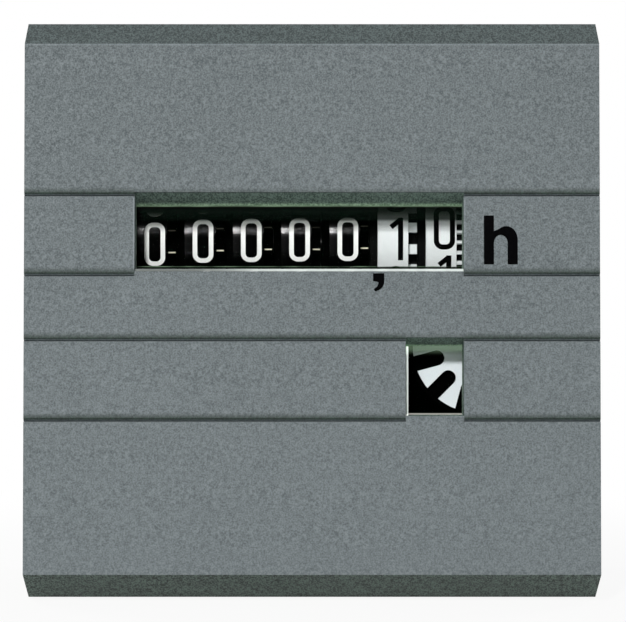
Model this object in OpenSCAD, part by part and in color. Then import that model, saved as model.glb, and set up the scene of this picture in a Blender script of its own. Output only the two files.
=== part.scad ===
// Panel hour meter: a seven wheel counter driven by a small synchronous motor.
// X points right, Y points back into the panel, Z points up, millimetres.
// The origin is the middle of the panel's front face, on which the bezel rim lies.

/* [Body and bezel] */
// Free space between the motor and the wall of the square body
body_air = 0.476; // [0.3:0.002:0.8]
// Wall of the body
body_wall = 1.5; // [1:0.1:2]
// Rim of the bezel beside the body, left and right
seat_side = 1.7; // [1.2:0.1:3]
// Rim of the bezel above and below the body
seat_end = 1.95; // [1.4:0.05:3]
// Straight edge of the rim in front of the panel
rim_land = 0.6; // [0.3:0.1:1]
// Upper edge of the face in front of the panel
face_top_out = 4; // [3.4:0.1:5]
// Lower edge of the face in front of the panel
face_bottom_out = 5.8; // [5:0.1:7]
// Height of the sloping top of the bezel
top_bevel = 1.95; // [1:0.05:2.4]
// Height of the sloping bottom of the bezel
bottom_bevel = 2.32; // [1:0.02:2.6]
// Thickness of the front wall
face_wall = 1.8; // [1.2:0.1:2]
// Depth that the body enters the bezel
body_lip = 1.8; // [1:0.1:2]
// Radius of the rolled edge along each strip of the face
roll_r = 0.48; // [0.3:0.02:0.6]

/* [Windows] */
// Height of the strip that holds a window
strip_h = 6.68; // [6:0.02:7.5]
// Lower edge of the counter strip under the wheel axis
counter_strip_drop = 3.15; // [2.8:0.05:3.4]
// Lower edge of the indicator strip under the worm arbor
run_strip_drop = 6.2; // [5.8:0.05:6.6]
// Lower edge of the counter window over the lower edge of its strip
counter_sill = 0.4; // [0.2:0.05:0.6]
// Upper edge of the counter window under the upper edge of its strip, at the lens
counter_head = 0.68; // [0.3:0.02:0.9]
// Lower edge of the indicator window over the lower edge of its strip
run_sill = 0.48; // [0.2:0.02:0.6]
// Upper edge of the indicator window under the upper edge of its strip, at the lens
run_head = 0.4; // [0.3:0.02:0.8]
// Rise of a window's sloping head over the upper edge of its strip, at the face
brow_rise = 0.34; // [0.2:0.02:0.5]
// Left edge of the counter window inside the first wheel
window_trim = 0.11; // [0:0.01:0.3]
// Part of the drive gear that shows in the counter window
window_extra = 0.37; // [0.2:0.01:0.8]
// Width of the indicator window
run_window_w = 4.85; // [4:0.05:6]
// Front of the lenses in front of the panel
lens_out = 1.7; // [1.4:0.1:2]
// Thickness of the lenses
lens_t = 0.8; // [0.6:0.05:1.2]
// Width of the step that a lens sits in
lens_step = 0.5; // [0.3:0.05:0.8]
// Thickness of the clear wall along one edge of a window
collar_t = 0.2; // [0.15:0.05:0.4]
// Front edge of the clear wall behind the face
collar_back = 0.35; // [0.2:0.05:0.6]
// Wall of the well round a window
well_t = 1.1; // [0.8:0.1:1.4]

/* [Counter] */
// Diameter of a number wheel
wheel_d = 13.4; // [12.6:0.1:13.6]
// Distance from one wheel to the next
wheel_pitch = 4.1; // [4:0.01:4.2]
// Width of the numbered rim
rim_w = 2.59; // [2.4:0.01:2.66]
// Left edge of the first wheel
first_wheel_x = -14.91; // [-15.4:0.01:-14.6]
// Free space between the wheels and the lens
wheel_air = 1; // [0.7:0.1:1.4]
// Height of the wheel axis over the middle of the panel opening
counter_z = 6; // [5.5:0.1:6.5]
// Width of the ring of twenty carry teeth
ring_w = 0.76; // [0.6:0.02:0.8]
// Tips of the carry teeth under the rim
ring_drop = 0.7; // [0.65:0.05:0.8]
// Height of the carry teeth
ring_depth = 1.15; // [1.1:0.05:1.25]
// Width of a carry tooth
ring_tooth_w = 0.8; // [0.6:0.02:0.84]
// Thickness of the rim
rim_t = 2.4; // [2.3:0.1:2.7]
// Radius of the hub of a wheel
hub_r = 2.2; // [1.8:0.1:2.6]
// Edge of the locking disc under the rim
lock_drop = 1.7; // [1.65:0.05:2.1]
// Width of the two carry lobes beside the rim
lobe_w = 0.28; // [0.2:0.02:0.3]
// Diameter of the counter shaft
counter_shaft_d = 2; // [1.6:0.1:2.4]
// Axis of the pinion shaft outside the rims of the wheels
carry_out = 1.05; // [1.03:0.01:1.15]
// Direction of the pinion shaft from the counter shaft, up from straight back
carry_angle = 52.6; // [36:0.2:72]
// Diameter of the pinion shaft
pinion_shaft_d = 1.6; // [1.2:0.1:1.8]
// Radius over the teeth of a carry pinion
carry_tip_r = 2.5; // [2.3:0.05:2.52]
// Radius at the foot of the teeth of a carry pinion
carry_root_r = 1.5; // [1.3:0.05:1.6]

/* [Worm and indicator] */
// Place of the worm arbor to the right of the middle
worm_x = 14.2; // [14:0.05:14.3]
// Module of the worm and of the drive gear
drive_m = 0.28; // [0.27:0.005:0.29]
// Teeth of the drive gear
drive_teeth = 45; // [44:1:46]
// Width of the drive gear
drive_w = 3.1; // [2.6:0.1:3.3]
// Pitch radius of the worm
worm_pr = 2.75; // [2.5:0.05:2.8]
// Length of the worm
worm_l = 3.6; // [3:0.1:5]
// Diameter of the worm arbor
arbor_d = 1.5; // [1.2:0.1:1.8]
// Outer radius of the star
star_r = 5.65; // [5.2:0.05:5.7]
// Arms of the star
star_arms = 12; // [8:1:12]
// Width of the slots between the arms
slot_w = 1.3; // [1:0.05:1.4]
// Distance of the round slot ends from the arbor
slot_r = 3.76; // [3.4:0.02:4]
// Thickness of the star
star_t = 0.6; // [0.4:0.05:0.7]
// Radius of the dark disc behind the star
disc_r = 6; // [5.8:0.05:6.1]
// Thickness of the dark disc
disc_t = 0.5; // [0.4:0.05:0.6]
// Free space between the lens and the star
star_air = 0.25; // [0.2:0.05:0.4]

/* [Gear train] */
// Module of the train
train_m = 0.2; // [0.19:0.005:0.205]
// Teeth of the arbor gear
arbor_teeth = 60; // [58:1:61]
// Teeth of the idler pinion
idler_pinion_teeth = 10; // [10:1:11]
// Teeth of the idler gear
idler_teeth = 50; // [48:1:52]
// Teeth of the rotor pinion
rotor_pinion_teeth = 9; // [9:1:10]
// Thickness of the gears
gear_t = 0.8; // [0.6:0.1:1]
// Free space between a gear and its neighbours
gear_air = 0.8; // [0.6:0.1:1]
// Diameter of the idler and rotor arbors
fine_arbor_d = 0.8; // [0.6:0.05:0.9]
// Direction of the idler from the worm arbor
idler_angle = 225; // [220:1:230]
// Direction of the rotor from the idler
rotor_angle = 190; // [185:1:195]

/* [Movement plates] */
// Thickness of the movement plates
plate_t = 1; // [0.8:0.1:1.2]
// Distance between the two plates
plate_gap = 5; // [4.8:0.1:5.6]
// Thickness of the sheet of the counter frame
frame_t = 0.8; // [0.6:0.1:1]
// Free space behind the wheels
frame_air = 1.9; // [1.6:0.1:2.4]
// Diameter of the pillars
pillar_d = 3; // [2.4:0.1:3.2]
// Distance of the plate screws from the inner walls of the body
post_inset = 3; // [2.6:0.1:3.4]
// Width of the posts in the body
post_w = 5; // [4:0.1:5.6]

/* [Motor] */
// Length of the stator
stator_l = 10; // [9:0.2:11]
// Depth of the winding
winding_t = 1.2; // [0.9:0.05:1.4]
// Sheet of the stator
stator_t = 0.8; // [0.6:0.1:1]
// Outer radius of the magnet
magnet_r = 7; // [6.8:0.05:7.1]
// Wall of the magnet
magnet_t = 1.6; // [1.2:0.1:2]
// Gap between the magnet and the poles
pole_gap = 0.3; // [0.2:0.05:0.4]
// Poles of each stator half
pole_count = 12; // [8:1:12]
// Width of a pole
pole_w = 1.2; // [0.8:0.05:1.3]
// Thickness of a pole
pole_t = 0.7; // [0.5:0.05:0.8]
// Free space behind the motor
motor_air = 0.5; // [0.3:0.1:1]

/* [Connections] */
// Width of a blade terminal
blade_w = 6.3; // [4.8:0.1:6.4]
// Thickness of a blade terminal
blade_t = 0.8; // [0.5:0.1:0.8]
// Length of a blade behind the body
blade_l = 8; // [7:0.2:10]
// Distance of a blade from the middle
blade_x = 8; // [7:0.2:10]
// Height of the blades over the middle
blade_z = 10; // [9.5:0.1:12]
// Diameter of the insulated leads
lead_d = 0.9; // [0.7:0.05:1]

/* [Mounting frame] */
// Room for the panel between the bezel and the frame
panel_room = 3; // [2.2:0.1:6]
// Wall of the mounting frame
clamp_wall = 1.6; // [1.4:0.1:3]
// Depth of the mounting frame
clamp_l = 8; // [7:0.2:10]
// Space between the frame and the body
clamp_gap = 0.3; // [0.25:0.05:0.5]
// Space between a tongue's nose and the ratchet
nose_gap = 0.1; // [0.08:0.01:0.2]
// Width of a tongue
tongue_w = 7; // [5:0.2:9]
// Pitch of the ratchet
ratchet_pitch = 1; // [0.8:0.05:1.4]
// Depth of the ratchet
ratchet_depth = 0.4; // [0.2:0.05:0.5]

/* [Fits] */
// Running clearance of shafts, on the radius
run_gap = 0.07; // [0.06:0.01:0.1]
// Clearance of pressed and glued pieces, on the radius
fix_gap = 0.02; // [0.01:0.005:0.03]
// Side play between wheels, pinions and cheeks
side_gap = 0.08; // [0.06:0.01:0.1]
// Thinning of each tooth of the train
train_thin = 0.06; // [0.04:0.01:0.08]
// Thinning of the worm thread and of the drive gear's teeth
drive_thin = 0.1; // [0.08:0.01:0.12]

/* [Hidden] */
$fn = 64;
// Small overlap that makes neighbouring shapes of one piece a single solid
eps = 0.1;

// Colours of the materials
black = [0.06, 0.06, 0.06];
white = [0.9, 0.9, 0.88];
clear = [0.85, 0.92, 0.9, 0.4];
brass = [0.8, 0.66, 0.36];
steel = [0.75, 0.75, 0.76];
sheet = [0.72, 0.73, 0.74];
natural = [0.85, 0.8, 0.66];
tinned = [0.78, 0.76, 0.7];
zinc = [0.62, 0.64, 0.66];

// Counter
ring_tip_r = wheel_d / 2 - ring_drop;
ring_root_r = ring_tip_r - ring_depth;
rim_inner_r = wheel_d / 2 - rim_t;
lock_r = wheel_d / 2 - lock_drop;
carry_centres = wheel_d / 2 + carry_out;
counter_y = lens_t - lens_out + wheel_air + wheel_d / 2;
carry_y = counter_y + carry_centres * cos(carry_angle);
carry_z = counter_z + carry_centres * sin(carry_angle);
carry_w = wheel_pitch - rim_w - ring_w - side_gap;
wheel_count = 7;
function wheel_x(i) = first_wheel_x + wheel_pitch * i;
last_x = wheel_x(wheel_count - 1);
drive_pr = drive_m * drive_teeth / 2;
digit_step = 36;
ring_teeth = 20;
carry_teeth = 8;

// Worm, indicator and train, as centres in X and Z
worm_c = [worm_x, counter_z - drive_pr - worm_pr];
idler_d = train_m * (arbor_teeth + idler_pinion_teeth) / 2;
rotor_d = train_m * (idler_teeth + rotor_pinion_teeth) / 2;
idler_c = worm_c + idler_d * [cos(idler_angle), sin(idler_angle)];
rotor_c = idler_c + rotor_d * [cos(rotor_angle), sin(rotor_angle)];
star_y = lens_t - lens_out + star_air;
disc_y = star_y + star_t;

// Motor, from the magnet out to the stator
coil_air = 0.2;
core_t = 0.6;
flange_over = 0.3;
pole_r = magnet_r + pole_gap;
bobbin_r = pole_r + pole_t + coil_air;
winding_in_r = bobbin_r + core_t;
winding_out_r = winding_in_r + winding_t;
bobbin_out_r = winding_out_r + flange_over;
stator_r = bobbin_out_r + coil_air + stator_t;

// Body round the motor, bezel round the body
cavity_inset = 0.5;
body_in = stator_r - rotor_c[1] + body_air;
body_w = 2 * (body_in + body_wall);
body_r = 1;
bezel_w = body_w + 2 * seat_side;
bezel_h = body_w + 2 * seat_end;
face_top_z = bezel_h / 2 - top_bevel;
face_bottom_z = bottom_bevel - bezel_h / 2;
face_lean = (face_bottom_out - face_top_out) / (face_top_z - face_bottom_z);
// Y of the face at height z
function face_y(z) = -face_top_out - (face_top_z - z) * face_lean;
cavity = body_in - cavity_inset;
post_at = body_in - post_inset;

// Depths, from the wheels to the back wall
plate_1 = counter_y + wheel_d / 2 + frame_air + frame_t;
arbor_gear_y = plate_1 + plate_t + gear_air;
idler_gear_y = arbor_gear_y + gear_t + 1.5 * gear_air;
plate_2 = plate_1 + plate_t + plate_gap;
stator_y = plate_2 + plate_t;
stator_back = stator_y + stator_l;
cap_t = 0.8;
end_in = 0.05;
bearing_skin = 0.3;
arbor_front = plate_1 + bearing_skin + end_in;
plate_air = 0.2;
body_in_back = stator_back + cap_t + motor_air;
body_back = body_in_back + body_wall;

// Windows: [left, right, lower edge of the strip, sill, head]
window_right = last_x + rim_w + window_extra;
counter_window = [first_wheel_x + window_trim, window_right, counter_z - counter_strip_drop,
    counter_sill, counter_head];
run_window = [window_right - run_window_w, window_right, worm_c[1] - run_strip_drop, run_sill, run_head];

// Counter frame: cheeks beside the wheels and the worm, tab behind the indicator, metal round a hole
cheek_air = 0.7;
worm_air = 0.3;
tab_air = 0.55;
eye_r = 2.4;
cheek_left = first_wheel_x - frame_t - cheek_air;
cheek_right = worm_x + worm_pr + drive_m + worm_air;
tab_y = disc_y + disc_t + tab_air;
tab_drop = eye_r + 1;
web_drop = 6.6;

// Motor, along its axis, with its ears and the connection block of the coil
bobbin_y = stator_y + stator_t + coil_air / 2;
bobbin_l = stator_l - 2 * stator_t - coil_air;
flange_t = 0.6;
ear_r = 1.9;
ear_at = stator_r + ear_r - coil_air;
block_w = 6;
block_l = 2.4;
block_neck = 2;
block_top = stator_r + ear_r;
pin_x = 2;
pin_r = 0.35;
pin_l = 1.2;

// Screws: shank and head radius, head height
screw_r = 0.8;
screw_head_r = 1.6;
screw_head_h = 1.1;
screw_l = 5;

// Rear plate: left, right, bottom, top, with its pillars
plate_edge = 1;
pillar_in = 4;
pillar_side = 6.6;
gear_cover = 1.6;
rear_plate_box = [rotor_c[0] - ear_at - ear_r, rotor_c[0] + ear_at + ear_r + plate_edge,
    rotor_c[1] - stator_r / 2, worm_c[1] + train_m * arbor_teeth / 2 + gear_cover];
pillar_low = rear_plate_box[2] + pillar_d / 2;
pillar_high = rear_plate_box[3] - pillar_d / 2;
pillar_at = [
    [rear_plate_box[0] + pillar_in, pillar_high], [worm_c[0] - pillar_side, pillar_high],
    [rear_plate_box[0] + pillar_in, pillar_low], [rear_plate_box[1] - pillar_d / 2, pillar_low]
];

// Screws of the counter frame
frame_screw_drop = 5;
frame_screw_left = 5.4;
frame_screw_right = 9.5;
frame_screw_at = [
    [cheek_left + frame_screw_left, counter_z - frame_screw_drop],
    [cheek_right - frame_screw_right, counter_z - frame_screw_drop]
];

// Mounting frame
clamp_in = body_w / 2 + clamp_gap;
clamp_w = 2 * (clamp_in + clamp_wall);
tongue_slit = 1.4;
tongue_t = 1.1;
tongue_tail = 3;
nose_l = 1.2;
clamp_r = 1.4;
clamp_bar = 2;
ratchet_lead = 3;
ratchet_steep = 0.2;
ratchet_end = 1;
ratchet_y = panel_room + clamp_l - nose_l - ratchet_lead;
ratchet_n = floor((body_in_back - ratchet_end - ratchet_y) / ratchet_pitch);

// Snap tongues between bezel and body
snap_x = 12;
snap_w = 5;
snap_t = 1;
snap_y = 4;
snap_l = 1.4;
snap_out = 0.8;
snap_air = 0.1;

// Round bar along Y with its centre at c in X and Z
module rod_y(c, r, y0, y1) {
    translate([c[0], y0, c[1]]) rotate([-90, 0, 0]) cylinder(r = r, h = y1 - y0);
}

// Round bar along X with its centre at y and z
module rod_x(y, z, r, x0, x1) {
    translate([x0, y, z]) rotate([0, 90, 0]) cylinder(r = r, h = x1 - x0);
}

// Outline in X and Z, thick from y0 to y1
module slab_y(y0, y1) {
    translate([0, y1, 0]) rotate([90, 0, 0]) linear_extrude(y1 - y0) children();
}

// Outline in Y and Z, thick from x0 to x1
module slab_x(x0, x1) {
    translate([x0, 0, 0]) rotate([90, 0, 90]) linear_extrude(x1 - x0) children();
}

// Box between two corners
module block(a, b) {
    translate(a) cube(b - a);
}

// Rectangle with round corners about the middle
module round_square(w, h, r) {
    square([w - 2 * r, h], center = true);
    square([w, h - 2 * r], center = true);
    for (sx = [-1, 1], sy = [-1, 1]) translate([sx * (w / 2 - r), sy * (h / 2 - r)]) circle(r);
}

// Involute gear outline with a tooth on the first axis
function turn_of(r, base) = r > base ? sqrt(r * r / base / base - 1) * 180 / PI - acos(base / r) : 0;
function tooth_half(r, pr, n, thin) =
    let (base = pr * cos(20))
    90 / n - thin / 2 / pr * 180 / PI + turn_of(pr, base) - turn_of(r, base);
tooth_add = 0.9;
tooth_ded = 1.2;
flank_steps = 3;
function flank_r(pr, m, k) = pr - tooth_ded * m + (tooth_add + tooth_ded) * m * k / (flank_steps - 1);
function gear_points(n, m, thin) =
    let (pr = n * m / 2)
    [for (i = [0:n - 1], k = [0:2 * flank_steps - 1])
        let (rise = k < flank_steps)
        let (r = flank_r(pr, m, rise ? k : 2 * flank_steps - 1 - k))
        let (a = 360 * i / n + (rise ? -1 : 1) * tooth_half(r, pr, n, thin))
        r * [cos(a), sin(a)]];

// Straight tapered teeth with a tooth on the first axis: foot and tip radius, foot and tip width
function tooth_points(at, root, tip, root_w, tip_w) =
    [for (p = [[root, -root_w], [tip, -tip_w], [tip, tip_w], [root, root_w]])
        let (a = at + asin(p[1] / 2 / p[0]))
        p[0] * [cos(a), sin(a)]];
function straight_gear(n, root, tip, root_w, tip_w) =
    [for (i = [0:n - 1]) each tooth_points(360 * i / n, root, tip, root_w, tip_w)];

// Gear on an arbor along Y, with its bore and a ring of lightening holes
module train_gear(c, n, phase, y0, y1, bore, holes = 0) {
    pr = n * train_m / 2;
    hole_r = pr / 5;
    slab_y(y0, y1) translate(c) difference() {
        rotate(phase) polygon(gear_points(n, train_m, train_thin));
        circle(bore);
        if (holes > 0) {
            for (i = [1:holes]) rotate(360 * i / holes) translate([pr * 0.58, 0]) circle(hole_r);
        }
    }
}

// Cheese head screw along +Y, head at the front
module screw_y(c, y, l) {
    difference() {
        union() {
            rod_y(c, screw_head_r, y - screw_head_h, y);
            rod_y(c, screw_r, y - eps, y + l);
        }
        slab_y(y - screw_head_h - eps, y - screw_head_h / 2)
            translate(c) square([2 * screw_head_r + eps, 0.5], center = true);
    }
}

// Opening of a window in Y and Z, to the lens, with the sloping head
function window_sill(w) = w[2] + w[3];
function window_head(w) = w[2] + strip_h - w[4];
function window_brow(w) = w[2] + strip_h + brow_rise;
function head_slope(w) = (window_brow(w) - window_head(w)) / (-lens_out - face_y(window_brow(w)));
module window_profile(w, front) {
    polygon([
        [-lens_out, window_sill(w)],
        [front, window_sill(w)],
        [front, window_head(w) + head_slope(w) * (-lens_out - front)],
        [-lens_out, window_head(w)]
    ]);
}

// Rolled edge of the strip above height z, with the sharp edge of the next strip under it
module roll_cut(x0, x1, z) {
    lean = atan(face_lean);
    slab_x(x0, x1) translate([face_y(z), z]) rotate(lean) difference() {
        translate([-eps, 0]) square([roll_r + eps, roll_r]);
        translate([roll_r, roll_r]) circle(roll_r);
    }
}

// The two stretches of a rolled edge beside a window
module roll_beside(w, z) {
    roll_cut(-bezel_w / 2 - 1, w[0], z);
    roll_cut(w[1], bezel_w / 2 + 1, z);
}

// Raised wall behind the face that holds a lens
module lens_well(w) {
    block([w[0] - lens_step - well_t, face_y(w[2]) + 1, window_sill(w) - lens_step - well_t],
        [w[1] + lens_step + well_t, lens_t - lens_out, window_head(w) + lens_step + well_t]);
}

// Opening of a window through the face, with the step for its lens
module lens_hole(w) {
    slab_x(w[0], w[1]) window_profile(w, -face_bottom_out - 1);
    block([w[0] - lens_step, -lens_out, window_sill(w) - lens_step],
        [w[1] + lens_step, lens_t - lens_out + eps, window_head(w) + lens_step]);
}

// Snap tongue of the bezel at side, 1 above and -1 below
module snap_tongue(x, side) {
    z = side * (body_in - fix_gap - snap_t / 2);
    block([x - snap_w / 2, face_y(z) + 1, z - snap_t / 2],
        [x + snap_w / 2, snap_y + snap_l, z + snap_t / 2]);
    slab_x(x - snap_w / 2, x + snap_w / 2) polygon([
        [snap_y, z], [snap_y, side * (body_in + snap_out)],
        [snap_y + snap_l / 2, side * (body_in + snap_out)], [snap_y + snap_l, z]
    ]);
}

module front_bezel() {
    color([0.42, 0.46, 0.47]) {
        difference() {
            union() {
                difference() {
                    slab_x(-bezel_w / 2, bezel_w / 2) polygon([
                        [0, -bezel_h / 2], [-rim_land, -bezel_h / 2],
                        [-face_bottom_out, face_bottom_z], [-face_top_out, face_top_z],
                        [-rim_land, bezel_h / 2], [0, bezel_h / 2]
                    ]);
                    slab_x(-cavity, cavity) polygon([
                        [eps, -cavity], [face_y(-cavity) + face_wall, -cavity],
                        [face_y(cavity) + face_wall, cavity], [eps, cavity]
                    ]);
                    slab_y(-body_lip, eps) round_square(body_w + 4 * fix_gap, body_w + 4 * fix_gap, body_r);
                }
                lens_well(counter_window);
                lens_well(run_window);
            }
            lens_hole(counter_window);
            lens_hole(run_window);
            for (w = [counter_window, run_window]) {
                roll_beside(w, w[2] + strip_h);
                roll_beside(w, w[2]);
            }
        }
        for (x = [-snap_x, snap_x], side = [-1, 1]) snap_tongue(x, side);
    }
}

// Clear plate behind a window
module lens_plate(w) {
    block([w[0] - lens_step + fix_gap, fix_gap - lens_out, window_sill(w) - lens_step + fix_gap],
        [w[1] + lens_step - fix_gap, lens_t - lens_out, window_head(w) + lens_step - fix_gap]);
}

// Clear wall from a lens to just behind the face, between two corners in X and Z
module lens_wall(low, high) {
    block([low[0], face_y(high[1]) + collar_back, low[1]], [high[0], eps - lens_out, high[1]]);
}

module counter_lens() {
    w = counter_window;
    low = window_sill(w) + fix_gap;
    color(clear) union() {
        lens_plate(w);
        lens_wall([w[0] + fix_gap, low], [w[1] - fix_gap, low + collar_t]);
    }
}

module indicator_lens() {
    w = run_window;
    left = w[0] + fix_gap;
    color(clear) union() {
        lens_plate(w);
        lens_wall([left, window_sill(w) + fix_gap], [left + collar_t, window_head(w) - fix_gap]);
    }
}

// Saw teeth that the tongue of the mounting frame runs along, cut into the right side
module ratchet_cut() {
    edge = body_w / 2;
    translate([0, 0, -tongue_w / 2 - clamp_gap]) linear_extrude(tongue_w + 2 * clamp_gap) polygon(concat(
        [[edge + 1, ratchet_y]],
        [for (k = [0:ratchet_n - 1], p = [[0, 0], [-ratchet_depth, ratchet_steep]])
            [edge + p[0], ratchet_y + (k + p[1]) * ratchet_pitch]],
        [[edge, ratchet_y + ratchet_n * ratchet_pitch], [edge + 1, ratchet_y + ratchet_n * ratchet_pitch]]
    ));
}

module rear_housing() {
    color([0.83, 0.84, 0.82]) difference() {
        union() {
            difference() {
                slab_y(-body_lip, body_back) round_square(body_w, body_w, body_r);
                slab_y(-body_lip - eps, body_in_back) square(2 * body_in, center = true);
            }
            for (sx = [-1, 1], sz = [-1, 1]) {
                slab_y(plate_1 + plate_t, body_in_back + eps)
                    translate([sx, sz] * (body_in + eps - post_w / 2)) square(post_w + 2 * eps, center = true);
            }
        }
        for (sx = [-1, 1], sz = [-1, 1]) {
            rod_y([sx, sz] * post_at, screw_r + fix_gap, plate_1, plate_1 + plate_t + screw_l);
        }
        for (x = [-snap_x, snap_x], side = [-1, 1]) {
            translate([x, snap_y + snap_l / 2, side * (body_w / 2 - body_wall / 2)])
                cube([snap_w + 4 * snap_air, snap_l + 2 * snap_air, body_wall + 2 * eps], center = true);
        }
        for (sx = [-1, 1]) {
            translate([sx * blade_x, body_back - body_wall / 2, blade_z])
                cube([blade_w + 2 * fix_gap, body_wall + 2 * eps, blade_t + 2 * fix_gap], center = true);
        }
        ratchet_cut();
        mirror([1, 0, 0]) ratchet_cut();
    }
}

// Spring tongue on the right side of the mounting frame
module clamp_tongue() {
    inner = clamp_in;
    tip = body_w / 2 + nose_gap;
    y_end = panel_room + clamp_l + tongue_tail;
    block([inner, panel_room + clamp_bar - nose_l / 2, -tongue_w / 2], [inner + tongue_t, y_end, tongue_w / 2]);
    translate([0, 0, -tongue_w / 2]) linear_extrude(tongue_w) polygon([
        [inner + eps, y_end - tongue_tail - nose_l], [tip, y_end - tongue_tail - nose_l],
        [tip, y_end - tongue_tail - nose_l / 2], [inner + eps, y_end - tongue_tail + nose_l / 2]
    ]);
}

module mounting_frame() {
    color([0.13, 0.13, 0.14]) {
        difference() {
            slab_y(panel_room, panel_room + clamp_l) round_square(clamp_w, clamp_w, clamp_r);
            slab_y(panel_room - eps, panel_room + clamp_l + eps)
                square(2 * clamp_in, center = true);
            for (sx = [-1, 1]) {
                translate([sx * clamp_w / 2, panel_room + clamp_bar + clamp_l / 2, 0])
                    cube([clamp_w - 2 * clamp_in + eps, clamp_l, tongue_w + 2 * tongue_slit], center = true);
            }
        }
        clamp_tongue();
        mirror([1, 0, 0]) clamp_tongue();
    }
}

// Cheek of the counter frame in Y and Z, with the holes of the two shafts
module cheek_outline(low) {
    back = plate_1;
    difference() {
        polygon([
            [back, low], [tab_y, low], [tab_y, min(0, low + 2 * tab_drop)],
            [counter_y - eye_r, counter_z - eye_r], [counter_y - eye_r, counter_z + eye_r],
            [carry_y - eye_r, carry_z + eye_r], [back, carry_z + eye_r]
        ]);
        translate([counter_y, counter_z]) circle(counter_shaft_d / 2 + fix_gap);
        translate([carry_y, carry_z]) circle(pinion_shaft_d / 2 + fix_gap);
    }
}

module counter_frame() {
    low = worm_c[1] - tab_drop;
    color(sheet) {
        // left cheek, cut short under the wheels
        intersection() {
            slab_x(cheek_left, cheek_left + frame_t) cheek_outline(low);
            block([cheek_left - 1, counter_y - eye_r - eps, counter_z - web_drop],
                [0, plate_1, carry_z + 2 * eye_r]);
        }
        slab_x(cheek_right, cheek_right + frame_t) cheek_outline(low);
        // web on the front plate
        difference() {
            block([cheek_left, plate_1 - frame_t, counter_z - web_drop],
                [cheek_right + frame_t, plate_1, carry_z + eye_r]);
            for (c = frame_screw_at) rod_y(c, screw_r + fix_gap, plate_1 - 2 * frame_t, plate_1 + eps);
        }
        // front tab with the bearing of the worm arbor
        difference() {
            block([worm_x - eye_r, tab_y, low], [cheek_right + frame_t, tab_y + frame_t, worm_c[1] + eye_r]);
            rod_y(worm_c, arbor_d / 2 + run_gap, tab_y - eps, tab_y + frame_t + eps);
        }
    }
}

// Shaft between the cheeks with a head at the left and a clip groove at the right
clip_t = 0.4;
clip_in = 0.25;
clip_out = 1;
rivet_t = 0.5;
shaft_tail = 0.7;
module cheek_shaft(y, z, d) {
    x0 = cheek_left - fix_gap;
    x1 = cheek_right + frame_t;
    color(steel) difference() {
        union() {
            rod_x(y, z, d / 2 + rivet_t, x0 - rivet_t, x0);
            rod_x(y, z, d / 2, x0 - eps, x1 + shaft_tail);
        }
        difference() {
            rod_x(y, z, d / 2 + clip_out, x1, x1 + clip_t);
            rod_x(y, z, d / 2 - clip_in, x1 - eps, x1 + clip_t + eps);
        }
    }
}

module counter_shaft() {
    cheek_shaft(counter_y, counter_z, counter_shaft_d);
}

module pinion_shaft() {
    cheek_shaft(carry_y, carry_z, pinion_shaft_d);
}

// Spring clip in the groove at the right end of a shaft
module shaft_clip(y, z, d) {
    x1 = cheek_right + frame_t + fix_gap;
    slab_x(x1, x1 + clip_t - 2 * fix_gap) translate([y, z]) difference() {
        circle(d / 2 + clip_out);
        circle(d / 2 - clip_in + fix_gap);
        translate([0, -d]) square([d - 2 * clip_in + 2 * fix_gap, 2 * d], center = true);
    }
}

module shaft_clips() {
    color([0.3, 0.3, 0.32]) {
        shaft_clip(counter_y, counter_z, counter_shaft_d);
        shaft_clip(carry_y, carry_z, pinion_shaft_d);
    }
}

// Turned body of a number wheel: locking disc, rim and hub, along X from its left edge
module wheel_body(left, right) {
    bore = counter_shaft_d / 2 + run_gap;
    web = 0.5;
    rotate([0, 90, 0]) rotate_extrude() polygon([
        [bore, left], [left < 0 ? lock_r : hub_r, left], [left < 0 ? lock_r : hub_r, 0],
        [wheel_d / 2, 0], [wheel_d / 2, rim_w], [rim_inner_r, rim_w], [rim_inner_r, web],
        [hub_r, web], [hub_r, right], [bore, right]
    ]);
}

// The two lobes that push the next carry pinion on, past it when a nought shows
module carry_lobes() {
    lobe_root = lock_r - 0.2;
    foot_w = 0.6;
    tip_w = 0.35;
    for (side = [-1, 1]) {
        slab_x(-lobe_w, eps) polygon(tooth_points(
            carry_angle - digit_step / 2 + side * 180 / ring_teeth, lobe_root, ring_tip_r, foot_w, tip_w));
    }
}

// Ring of carry teeth at the right of a rim, with a gap towards the pinion
module carry_ring() {
    slab_x(rim_w - eps, rim_w + ring_w) difference() {
        rotate(carry_angle + 180 / ring_teeth)
            polygon(straight_gear(ring_teeth, ring_root_r, ring_tip_r, ring_tooth_w, ring_tooth_w));
        circle(rim_inner_r);
    }
}

// Number wheel i from the left
module number_wheel(i, tint) {
    hub_end = wheel_pitch - carry_w - side_gap;
    color(tint) translate([wheel_x(i), counter_y, counter_z]) union() {
        wheel_body(i == 0 ? cheek_left + frame_t + side_gap - wheel_x(0) : -carry_w, hub_end);
        if (i > 0) carry_lobes();
        carry_ring();
    }
}

// Last wheel, with the gear that the worm drives and a tooth over the worm
module drive_wheel(tint) {
    set_left = 0.45;
    gear_end = worm_x + drive_w / 2 - set_left - last_x;
    hub_end = cheek_right - side_gap - last_x;
    color(tint) translate([last_x, counter_y, counter_z]) union() {
        wheel_body(-carry_w, hub_end);
        carry_lobes();
        slab_x(rim_w - eps, gear_end) difference() {
            rotate(270) polygon(gear_points(drive_teeth, drive_m, drive_thin));
            circle(rim_inner_r);
        }
    }
}

module wheel_ten_thousands() {
    number_wheel(0, black);
}

module wheel_thousands() {
    number_wheel(1, black);
}

module wheel_hundreds() {
    number_wheel(2, black);
}

module wheel_tens() {
    number_wheel(3, black);
}

module wheel_units() {
    number_wheel(4, black);
}

module wheel_tenths() {
    number_wheel(5, white);
}

module wheel_hundredths() {
    drive_wheel(white);
}

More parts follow.
